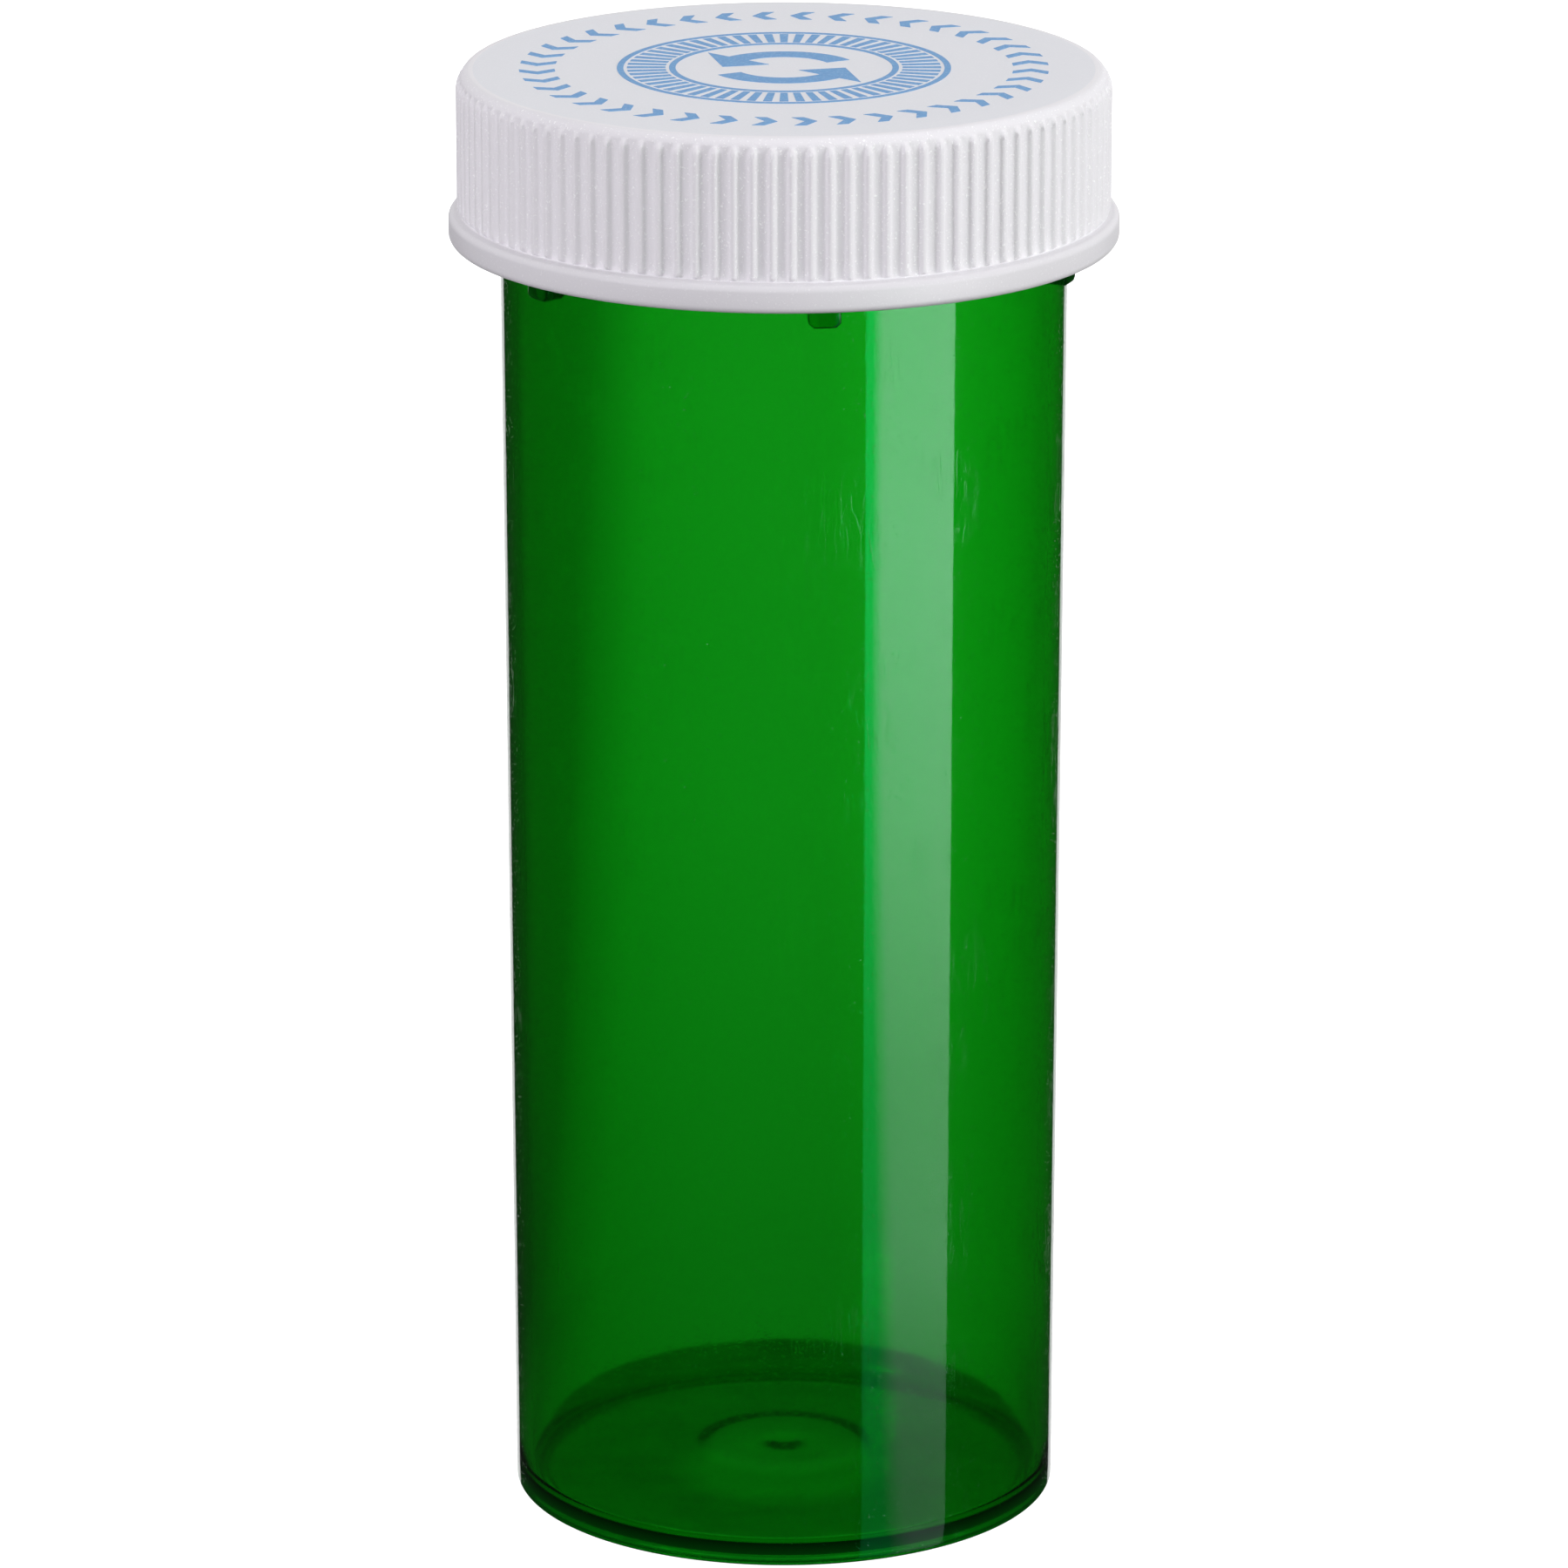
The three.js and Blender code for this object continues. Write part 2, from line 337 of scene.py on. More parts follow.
def makeVialWall():
    recess = vial["footRadius"] - vial["footRound"] - vial["standRing"]
    well = domeHeight(vial["wellRadius"], recess) + vial["wellDepth"]
    gate = well - vial["gateHeight"]
    start = (vial["gateRadius"] * 0.3, gate)
    piece = startDisc("vialTube", vial["sides"], start[0], start[1], vial["turn"])
    corner = vial["corner"]
    drop = vial["gateHeight"]
    rings = [(vial["gateRadius"] * share, gate + drop * rise)
             for share, rise in ((0.5, 0.08), (0.7, 0.28), (0.9, 0.55), (1.1, 0.8), (1.35, 0.96))]
    rings += [(2.2 * mm, well), (4 * mm, well)]
    edge = domeHeight(vial["wellRadius"], recess)
    for share, rise in ((0.8, 0.97), (0.86, 0.82), (0.91, 0.55), (0.96, 0.22)):
        rings.append((vial["wellRadius"] * share, edge + vial["wellDepth"] * rise))
    for radius in (6.45, 6.8, 7.6, 8.8, 10.2, 11.6, 13, 14.2, 15.4, 16.3, 16.9):
        rings.append((radius * mm, domeHeight(radius * mm, recess)))
    lip = vial["lipRound"]
    rings += roundOff((recess - lip, vial["recessLip"] - 0.1 * mm), (lip, 0.12 * mm), 80, 0, 3)
    rings += roundOff((recess + lip, lip), (lip, lip), 180, 270, 3)
    rings += roundOff((vial["footRadius"] - vial["footRound"], vial["footRound"]),
                      (vial["footRound"], vial["footRound"]), -90, 0, 8)
    heights = [2, 5, 12, 22, 34, 46, 58, 70, 80, 88]
    rings += [(vialOutside(h * mm), h * mm) for h in heights]
    for height in (vial["legLow"], 92.9 * mm, vial["toothLow"], vial["barLow"], vial["barTop"], 99 * mm):
        rings.append((vialOutside(height), height))
    rim = vial["rimRound"]
    inner = vial["neckRadius"] - vial["wall"]
    rings += roundOff((vial["neckRadius"] - rim, vial["height"] - rim), (rim, rim), 0, 90, 5)
    rings += roundOff((inner + rim, vial["height"] - rim), (rim, rim), 90, 180, 5)
    heights = [99, 92, 80, 68, 56, 44, 32, 20, 12, 6, 4]
    rings += [(vialOutside(h * mm) - vial["wall"], h * mm) for h in heights]
    floor = vial["recessLip"] + vial["floor"]
    side = vialOutside(floor + corner) - vial["wall"] - corner
    rings += roundOff((side, floor + corner), (corner, corner), 0, -78, 7)
    for radius in (16.9, 16, 14.8, 13.4, 11.8, 10, 8, 6, 4, 2, 0.8):
        rings.append((radius * mm, domeHeight(radius * mm, recess) + vial["floor"]))
    pullRings(start, rings)
    bpy.ops.mesh.merge(type="CENTER")
    return piece


def makeHooks(piece):
    def legCorner(co):
        away = min(abs(hookAngle(co) - vial["legFrom"]), abs(hookAngle(co) - vial["legTo"]))
        return near(co.z, vial["legLow"]) and radiusOf(co) > vial["outside"] and away < vial["angleSlack"]

    pickVerts(piece, legCorner)
    bpy.ops.transform.translate(value=(0, 0, vial["legRound"]))
    # the teeth slope up to the bar on the side where the lugs come in
    steps = int(vial["barTo"] - vial["toothTo"])
    for step in range(1, steps + 1):
        angle = vial["toothTo"] + step
        pickVerts(piece, lambda co: near(co.z, vial["toothLow"]) and radiusOf(co) > vial["outside"]
                  and abs(hookAngle(co) - angle) < vial["angleSlack"])
        climb = (vial["barLow"] - vial["toothLow"] - vial["toothStep"]) * step / steps
        bpy.ops.transform.translate(value=(0, 0, climb))

    def inHook(centre, normal):
        if radiusOf(centre) < vial["outside"] or abs(normal.z) > 0.3:
            return False
        angle, height = hookAngle(centre), centre.z
        bar = vial["legFrom"] < angle < vial["barTo"] and vial["barLow"] < height < vial["barTop"]
        leg = vial["legFrom"] < angle < vial["legTo"] and vial["legLow"] < height < vial["barTop"]
        tooth = (vial["toothFrom"] < angle < vial["barTo"]
                 and vial["toothLow"] < height < vial["barTop"])
        return bar or leg or tooth

    pickFaces(piece, inHook)
    bpy.ops.mesh.extrude_region_move(TRANSFORM_OT_translate={"value": (0, 0, 0)})
    pushRadius(vial["hookRadius"] / vialOutside(vial["barTop"]))
    pickFaces(piece, lambda centre, normal: radiusOf(centre) > vial["hookFace"])
    bpy.ops.mesh.region_to_loop()
    bpy.ops.mesh.bevel(offset=vial["edgeRound"], segments=2, affect="EDGES")


vialTube = makeVialWall()
makeHooks(vialTube)
closePiece(vialTube, 50)
print("vial:", len(vialTube.data.polygons), "faces")


cap = {
    "sides": 1080,
    "turn": 0.01667,  # puts a line of vertices on each rib's crest
    "top": capHigh.z,
    "edge": capLow.z,
    "ceiling": capHigh.z - 1.3 * mm,
    "bore": 21.85 * mm,
    "groove": 22.7 * mm,
    "rib": 23.0 * mm,
    "ribRoom": 0.05 * mm,  # the shoulder runs this far over the crests
    "outside": 21.95 * mm,  # what lies farther out is on the outside
    "flange": 23.6 * mm,
    "flangeHeight": 2.0 * mm,
    "flangeRound": 0.5 * mm,
    "ribAngle": 1.35,
    "ribs": 108,
    "flute": (0.0, 0.03, 0.62, 0.9, 0.98, 1.0),  # depth of a flute, step by step from a crest
    "shoulderInset": 1.05 * mm,
    "shoulderDrop": 2.06 * mm,
    "tipHeight": 104.12 * mm,  # where the crests end, rounded like a fingertip
    "tipLength": 0.55 * mm,
    "tipCurve": 0.06 * mm,
    "lugTip": 20.38 * mm,
    "lugAngle": 36.75,
    "lugWidth": 9.6,
    "lugLow": capLow.z + 0.5 * mm,
    "lugHigh": capLow.z + 1.9 * mm,
    "lugRound": 0.15 * mm,
    "beadTip": 21.1 * mm,
    "beadWidth": 34,
    "beadLow": 101.4 * mm,
    "beadHigh": 101.9 * mm,
    "beadRound": 0.12 * mm,
    "edgeRound": 0.2 * mm,
    "ceilingRound": 0.425 * mm,
}


def shoulderRadius(height):
    centre = cap["top"] - cap["shoulderDrop"]
    reach = cap["rib"] + cap["ribRoom"] - cap["shoulderInset"]
    if height <= centre:
        return cap["rib"] + cap["ribRoom"]
    share = min(1.0, (height - centre) / cap["shoulderDrop"])
    return reach + cap["shoulderInset"] * math.sqrt(max(0.0, 1 - share * share))


def grooveRadius(height):
    return min(cap["groove"], shoulderRadius(height))


def ribStep(point):  # 0 on a crest, 5 in the middle of a flute
    pitch = 360 / cap["ribs"]
    steps = round(((angleOf(point) - cap["ribAngle"]) % pitch) / pitch * 10) % 10
    return min(steps, 10 - steps)


def ribStand(height, step):  # how far the surface stands out of the groove, 1 at full height
    full = 1 - cap["flute"][step]
    tip = cap["tipHeight"] - cap["tipCurve"] * step * step
    start = tip - cap["tipLength"]
    if height >= tip:
        return 0.0
    if height > start:
        share = (height - start) / cap["tipLength"]
        full *= math.sqrt(max(0.0, 1 - share * share))
    return full


def makeCapShell():
    start = (1 * mm, cap["top"])
    piece = startDisc("capShell", cap["sides"], start[0], start[1], cap["turn"])
    reach = cap["rib"] + cap["ribRoom"] - cap["shoulderInset"]
    rings = [(5 * mm, cap["top"]), (10 * mm, cap["top"]), (15 * mm, cap["top"]), (19.5 * mm, cap["top"])]
    rings += [(reach - 0.8 * mm, cap["top"]), (reach - 0.2 * mm, cap["top"] - 0.004 * mm)]
    heights = [104.69, 104.64, 104.55, 104.42, 104.27, 104.12, 104.02, 103.9, 103.78, 103.66, 103.52]
    heights += [103.36, 103.2, 103.0, 102.8, 102.4, 101.5, 99.5, 97.5, 95.7, 95.2, 94.95]
    ribZone = [h * mm for h in heights]
    rings += [(grooveRadius(h), h) for h in ribZone]
    flangeTop = cap["edge"] + cap["flangeHeight"]
    soft = cap["flangeRound"]
    rings += [(cap["groove"] + 0.05 * mm, flangeTop + 0.12 * mm), (cap["rib"], flangeTop + 0.01 * mm)]
    rings += roundOff((cap["flange"] - soft, flangeTop - soft), (soft, soft), 85, 0, 7)
    rings += [(cap["flange"], cap["edge"] + 0.95 * mm)]
    rings += roundOff((cap["flange"] - soft, cap["edge"] + soft), (soft, soft), 0, -84, 6)
    rings += [(cap["flange"] - soft - 0.1 * mm, cap["edge"])]
    edge = cap["edgeRound"]
    rings += roundOff((cap["bore"] + edge, cap["edge"] + edge), (edge, edge), -90, -180, 3)
    bore = [cap["lugLow"], cap["lugHigh"], 98 * mm, cap["beadLow"], cap["beadHigh"], 102.5 * mm]
    rings += [(cap["bore"], height) for height in bore]
    inside = cap["ceilingRound"]
    rings += roundOff((cap["bore"] - inside, cap["ceiling"] - inside), (inside, inside), 0, 90, 4)
    rings += [(18 * mm, cap["ceiling"]), (10 * mm, cap["ceiling"]), (2 * mm, cap["ceiling"])]
    pullRings(start, rings)
    bpy.ops.mesh.merge(type="CENTER")
    return piece, ribZone


def makeRibs(piece, ribZone):
    deepest = cap["rib"] - cap["groove"]
    for height in ribZone:
        base = grooveRadius(height)
        for step in range(5):
            out = ribStand(height, step) * deepest
            if out < 0.004 * mm:
                continue
            out = min(out, shoulderRadius(height) - base + cap["ribRoom"])
            pickVerts(piece, lambda co: near(co.z, height, 0.004 * mm) and radiusOf(co) > cap["outside"]
                      and ribStep(co) == step)
            pushRadius((base + out) / base)


def makeLugs(piece):
    lugHalf, beadHalf = cap["lugWidth"] / 2, cap["beadWidth"] / 2

    def onBore(centre):
        return near(radiusOf(centre), cap["bore"], 0.02 * mm)

    def inLug(centre, normal):
        away = abs((angleOf(centre) - cap["lugAngle"] + 30) % 60 - 30)
        return onBore(centre) and away < lugHalf and cap["lugLow"] < centre.z < cap["lugHigh"]

    def inBead(centre, normal):
        away = abs((angleOf(centre) - cap["lugAngle"]) % 60 - 30)
        return onBore(centre) and away < beadHalf and cap["beadLow"] < centre.z < cap["beadHigh"]

    for picked, tip, soft in ((inLug, cap["lugTip"], cap["lugRound"]),
                              (inBead, cap["beadTip"], cap["beadRound"])):
        pickFaces(piece, picked)
        bpy.ops.mesh.extrude_region_move(TRANSFORM_OT_translate={"value": (0, 0, 0)})
        pushRadius(tip / cap["bore"])
        bpy.ops.mesh.region_to_loop()
        bpy.ops.mesh.bevel(offset=soft, segments=2, affect="EDGES")


capShell, ribZone = makeCapShell()
makeRibs(capShell, ribZone)
makeLugs(capShell)
closePiece(capShell, 50)
print("cap:", len(capShell.data.polygons), "faces")


liner = {
    "sides": 240,
    "low": linerLow.z + 2.6 * mm,  # underside of the disc, on the vial's rim
    "disc": 0.8 * mm,
    "edge": 21.35 * mm,
    "plug": 18.78 * mm,
    "plugWall": 0.9 * mm,
    "plugDepth": 2.6 * mm,
    "plugTaper": 0.5 * mm,
    "spring": 14.5 * mm,
    "springWidth": 1.2 * mm,
    "springLean": 1.0 * mm,
    "springTop": linerHigh.z,
    "round": 0.18 * mm,
    "grooves": (5 * mm, 12 * mm),  # inner edge of the two shallow rings under the disc
    "grooveWidth": 0.75 * mm,
    "grooveSide": 0.15 * mm,
    "grooveDepth": 0.12 * mm,
}


def makeLiner():
    low, high = liner["low"], liner["low"] + liner["disc"]
    start = (0.8 * mm, low)
    piece = startDisc("sealDisc", liner["sides"], start[0], start[1])
    inner, foot = liner["plug"] - liner["plugWall"], low - liner["plugDepth"]
    soft = liner["round"]
    rings = []
    for first in liner["grooves"]:
        side, last, deep = liner["grooveSide"], first + liner["grooveWidth"], low + liner["grooveDepth"]
        rings += [(first, low), (first + side, deep), (last - side, deep), (last, low)]
    rings += roundOff((inner - soft, low - soft), (soft, soft), 90, 0, 3)
    rings += straight((inner, low - soft), (inner, foot + soft), 2)
    rings += roundOff((inner + soft, foot + soft), (soft, soft), 180, 270, 3)[1:]
    outer = liner["plug"] - liner["plugTaper"]
    rings += roundOff((outer - soft, foot + soft), (soft, soft), -90, -10, 3)
    rings += [(liner["plug"] - 0.06 * mm, low - liner["plugDepth"] / 2), (liner["plug"], low - 0.9 * mm)]
    rings += [(liner["plug"], low - 0.02 * mm), (liner["plug"] + 0.02 * mm, low)]
    rings += roundOff((liner["edge"] - soft, low + soft), (soft, soft), -90, 0, 3)
    rings += roundOff((liner["edge"] - soft, high - soft), (soft, soft), 0, 90, 3)
    lean, top = liner["springLean"], liner["springTop"]
    rings += [(liner["spring"] + 0.1 * mm, high), (liner["spring"] + 0.1 * mm, high + 0.05 * mm)]
    rings += [(liner["spring"] + lean, top - 0.12 * mm), (liner["spring"] + lean - 0.12 * mm, top)]
    back = liner["spring"] - liner["springWidth"]
    rings += [(back + lean + 0.12 * mm, top), (back + lean, top - 0.1 * mm), (back, high + 0.05 * mm)]
    rings += [(back - 0.1 * mm, high), (7 * mm, high), (1 * mm, high)]
    pullRings(start, rings)
    bpy.ops.mesh.merge(type="CENTER")
    return piece


sealDisc = makeLiner()
closePiece(sealDisc, 35)
print("liner:", len(sealDisc.data.polygons), "faces")


marks = {
    "height": cap["top"] + 0.02 * mm,
    "thick": 0.03 * mm,
    "ring": 17.3 * mm,
    "chevrons": 40,
    "chevronSize": 2.5 * mm,
    "chevronTurn": 4.5,
    "stroke": 0.85 * mm,
    "bars": 60,
    "barFrom": 8.3 * mm,
    "barTo": 11.0 * mm,
    "barWidth": 0.62 * mm,
    "lines": ((7.6 * mm, 8.05 * mm), (11.25 * mm, 11.7 * mm)),
    "arrowFrom": -62,  # degrees from the front, the way a locked cap turns free
    "arrowTo": 48,
    "arrowRadius": 4.3 * mm,
    "arrowWidth": 1.8 * mm,
    "arrowHead": 2.9 * mm,
    "arrowTip": 40,
    "arrowSteps": 30,
    "lineSides": 144,
}


def thicken():  # from a flat face in edit mode to a thin closed shape
    bpy.ops.mesh.select_all(action="SELECT")
    bpy.ops.mesh.extrude_region_move(TRANSFORM_OT_translate={"value": (0, 0, -marks["thick"])})
    bpy.ops.mesh.select_all(action="SELECT")
    bpy.ops.mesh.normals_make_consistent(inside=False)
    bpy.ops.object.mode_set(mode="OBJECT")


def flatShape(name, corners, place, turn):  # a thin closed shape from a ring of corners
    bpy.ops.object.select_all(action="DESELECT")
    bpy.ops.mesh.primitive_circle_add(vertices=len(corners), radius=1 * mm, fill_type="NGON")
    piece = bpy.context.object
    piece.name = name
    for vert, (across, up) in zip(piece.data.vertices, corners):
        vert.co = (across, up, 0)
    piece.location = place
    piece.rotation_euler = (0, 0, math.radians(turn))
    bpy.ops.object.transform_apply(location=True, rotation=True, scale=True)
    bpy.ops.object.mode_set(mode="EDIT")
    thicken()
    return piece


def copyRound(piece, count):  # copies spread evenly round the axis, each with its own mesh
    pieces = [piece]
    for i in range(1, count):
        bpy.ops.object.select_all(action="DESELECT")
        piece.select_set(True)
        bpy.context.view_layer.objects.active = piece
        bpy.ops.object.duplicate(linked=False)
        turned = bpy.context.object
        turned.rotation_euler = (0, 0, math.radians(360 * i / count))
        pieces.append(turned)
    return pieces


def arcPoints(radius, first, last, steps):
    angles = [first + (last - first) * i / steps for i in range(steps + 1)]
    return [onCircle(radius, angle, 0)[:2] for angle in angles]


def makeChevron():
    half, stroke = marks["chevronSize"] / 2, marks["stroke"]
    point = half * 0.6
    corners = [(-point, half), (-point + stroke, half), (point + stroke * 0.2, 0),
               (-point + stroke, -half), (-point, -half), (point - stroke * 0.8, 0)]
    spot = onCircle(marks["ring"], marks["chevronTurn"], marks["height"])
    return flatShape("turnMark", corners, spot, marks["chevronTurn"])


def makeBar():
    half = marks["barWidth"] / 2
    corners = [(-half, -marks["barTo"]), (half, -marks["barTo"]),
               (half * 0.8, -marks["barFrom"]), (-half * 0.8, -marks["barFrom"])]
    return flatShape("ringBar", corners, (0, 0, marks["height"]), 0)


def makeLine(inner, outer):  # a thin ring
    bpy.ops.object.select_all(action="DESELECT")
    bpy.ops.mesh.primitive_circle_add(vertices=marks["lineSides"], radius=outer, fill_type="NOTHING",
                                      location=(0, 0, marks["height"]))
    piece = bpy.context.object
    piece.name = "ringLine"
    bpy.ops.object.transform_apply(location=True)
    bpy.ops.object.mode_set(mode="EDIT")
    bpy.ops.mesh.select_all(action="SELECT")
    bpy.ops.mesh.extrude_region_move(TRANSFORM_OT_translate={"value": (0, 0, 0)})
    pushRadius(inner / outer)
    thicken()
    return piece


def makeArrow():  # half of a turning sign
    half = marks["arrowWidth"] / 2
    inner, outer = marks["arrowRadius"] - half, marks["arrowRadius"] + half
    first, last = marks["arrowFrom"], marks["arrowTo"]
    head, tip = marks["arrowHead"], last + marks["arrowTip"]
    corners = arcPoints(outer, first, last, marks["arrowSteps"])
    corners += [onCircle(marks["arrowRadius"] + head, last, 0)[:2]]
    corners += [onCircle(marks["arrowRadius"], tip, 0)[:2]]
    corners += [onCircle(marks["arrowRadius"] - head, last, 0)[:2]]
    corners += arcPoints(inner, last, first, marks["arrowSteps"])
    return flatShape("turnArrow", corners, (0, 0, marks["height"]), 0)


inkPieces = copyRound(makeChevron(), marks["chevrons"]) + copyRound(makeBar(), marks["bars"])
for inner, outer in marks["lines"]:
    inkPieces.append(makeLine(inner, outer))
inkPieces += copyRound(makeArrow(), 2)
bpy.ops.object.select_all(action="DESELECT")
for piece in inkPieces:
    piece.select_set(True)
bpy.context.view_layer.objects.active = inkPieces[0]
bpy.ops.object.join()
printedMarks = bpy.context.object
printedMarks.name = "printedMarks"
print("printed marks:", len(printedMarks.data.polygons), "faces")


studio = {
    "roomHigh": 0.6,
    "roomLow": 0.012,
    "tableWhite": 1.02,
    "tableUnder": 0.42,  # painted shadow level, in the vial's own shade
    "tableNear": 0.56,  # painted light level: what shines through the vial from close by
    "tableFar": 0.75,
    "stripFrom": 31.5,  # degrees to the right of the front
    "stripTo": 72.7,
    "stripDistance": 0.9,
    "stripGlow": 5.2,
    "stripLow": -0.75,
    "stripHigh": 0.35,
    "backGlow": 1.0,
    "backFrom": 161,
    "backTo": 199,
    "backDistance": 1.2,
    "backLow": -1.0,
    "backHigh": 0.6,
    "backdrop": 2.9,
    "tableSize": 6,
    "tableHeight": -0.05 * mm,
    "glowHeight": -0.1 * mm,
    "topPower": 0.6,
    "leftPower": 6.7,
    "rightPower": 9.4,
    "litHeight": 90 * mm,
    "underPower": 3.0,  # stands for the light that a pale table throws up
}


def makeGreen():
    finish = Finish("green see-through plastic")
    spot = finish.place()
    cloud = finish.noise(spot, 60, 3)
    fine = finish.noise(spot, 2600, 2, 0.6)
    long = finish.noise(finish.place(scale=(1, 1, 0.12), turn=(0.3, 0.2, 0)), 1500, 1, 0.5, 0.6)
    scratch = ((0.012 - (long - 0.5).size()) / 0.012).clamped()
    sparse = ((finish.noise(spot, 180, 1) - 0.55) * 8).clamped()
    marksOn = scratch * sparse
    specks = ((finish.noise(spot, 5200, 0) - 0.74) * 12).clamped()
    rough = 0.03 + cloud * 0.035 + marksOn * 0.12 + specks * 0.1
    x, y, z = finish.axes(spot)
    hookRoot, hookStart = 20.3 * mm, 90 * mm
    hooks = ((x * x + y * y) > hookRoot ** 2) * (z > hookStart)
    # painted glow: the foot and the hooks get a faint green glow of their own, standing in for light that
    # gathers there
    paintedGlow = ((2.1 * mm - z) / (1.2 * mm)).clamped() + hooks * 0.7
    relief = marksOn * 0.5 + specks * 1.0 + fine * 0.05 + cloud * 1.2
    tint = finish.mixed(cloud, (1.0, 1.0, 1.0, 1), (0.94, 0.99, 0.95, 1))
    finish.surface({
        "Base Color": tint,
        "Roughness": rough,
        "IOR": 1.5,
        "Transmission Weight": 1.0,
        "Specular Tint": (0.62, 1.0, 0.88, 1),
        # painted glow on the foot and the hooks
        "Emission Color": finish.mixed(paintedGlow, (0, 0, 0, 1), (0.0, 0.02, 0.001, 1)),
        "Emission Strength": 1.0,
        "Normal": finish.bump(relief, 0.35, 0.02 * mm),
    })
    finish.volume("ShaderNodeVolumeAbsorption", {"Color": (0.183, 0.805, 0.265, 1), "Density": 2900.0})
    return finish


def makeWhite():
    finish = Finish("white moulded plastic")
    spot = finish.place()
    x, y, z = finish.axes(spot)
    reach = (x * x + y * y) ** 0.5
    flangeTop, side, flat = 94.7 * mm, 22.3 * mm, 104.66 * mm
    low = ((22.78 * mm - reach) / (0.12 * mm)).clamped() * (reach > 22.1 * mm)  # painted shade: darkens the floor of each flute
    onSide = (reach > side) * (z > flangeTop)
    # painted shade: the flange below the ribs is darkened
    flangeShade = (reach > side) * (z < flangeTop)
    # painted shade: the flat top is darkened and turned bluish
    topShade = (z > flat) * (reach < 21.8 * mm)
    cloud = finish.noise(spot, 130, 4, 0.6)
    grain = finish.noise(spot, 5200, 3, 0.7)
    glint = ((finish.noise(spot, 9000, 1, 0.6) - 0.5) * 3).clamped()
    # painted glints: small bright dots laid into the colour, mostly on the ribbed side; the bump follows
    # the same dots
    paintedGlints = ((finish.noise(spot, 6200, 1, 0.5) - 0.63) * 9).clamped() * (0.25 + onSide * 0.75)
    base = finish.mixed(cloud, (0.775, 0.76, 0.79, 1), (0.82, 0.81, 0.835, 1))
    # painted shade in the flute floors
    colour = finish.mixed(low * 0.2, base, (0.66, 0.65, 0.69, 1))
    # painted shade on the flange
    colour = finish.mixed(flangeShade * 0.6, colour, (0.63, 0.62, 0.645, 1))
    # painted shade on the top
    colour = finish.mixed(topShade * 0.55, colour, (0.70, 0.72, 0.77, 1))
    # painted glints
    colour = finish.mixed(paintedGlints, colour, (0.96, 0.96, 0.97, 1))
    rough = 0.38 + cloud * 0.1 + glint * 0.1 + onSide * 0.1
    relief = grain * (0.35 + onSide * 0.9) + glint * onSide * 0.8 + paintedGlints
    finish.surface({
        "Base Color": colour,
        "Roughness": rough,
        "IOR": 1.49,
        "Specular IOR Level": 0.36,
        "Normal": finish.bump(relief, 0.5, 0.03 * mm),
    })
    return finish


def makeNatural():
    finish = Finish("natural soft plastic")
    spot = finish.place()
    cloud = finish.noise(spot, 220, 3)
    grain = finish.noise(spot, 4200, 2, 0.6)
    x, y = finish.axes(spot)[:2]
    reach = (x * x + y * y) ** 0.5
    turned = finish.node("ShaderNodeMath", {"operation": "SINE"}, {0: reach * 21000.0})
    finish.surface({
        "Base Color": finish.mixed(cloud, (0.74, 0.73, 0.68, 1), (0.8, 0.79, 0.75, 1)),
        "Roughness": 0.34 + grain * 0.16,
        "IOR": 1.5,
        "Normal": finish.bump(grain + turned * 0.25, 0.35, 0.03 * mm),
    })
    return finish


def makeInk():
    finish = Finish("pale blue ink")
    spot = finish.place()
    blots = finish.noise(spot, 1500, 3, 0.65)
    fine = finish.noise(spot, 6500, 2, 0.6)
    worn = ((fine - 0.56) * 5).clamped()
    blue = finish.mixed(blots, (0.045, 0.21, 0.53, 1), (0.14, 0.39, 0.67, 1))
    finish.surface({
        "Base Color": finish.mixed(worn * 0.6, blue, (0.5, 0.62, 0.78, 1)),
        "Roughness": 0.42 + blots * 0.15,
        "IOR": 1.5,
        "Normal": finish.bump(blots + worn, 0.3, 0.02 * mm),
    })
    return finish


def makePaper():
    finish = Finish("pale table")
    cloud = finish.noise(finish.place(), 12, 3)
    finish.surface({
        "Base Color": finish.mixed(cloud, (0.5, 0.5, 0.5, 1), (0.54, 0.54, 0.54, 1)),
        "Roughness": 0.9 + cloud * 0.05,
        "Specular IOR Level": 0.0,
        "Emission Color": (1, 1, 1, 1),
        "Emission Strength": studio["tableWhite"],
    })
    finish.openBelow()
    return finish


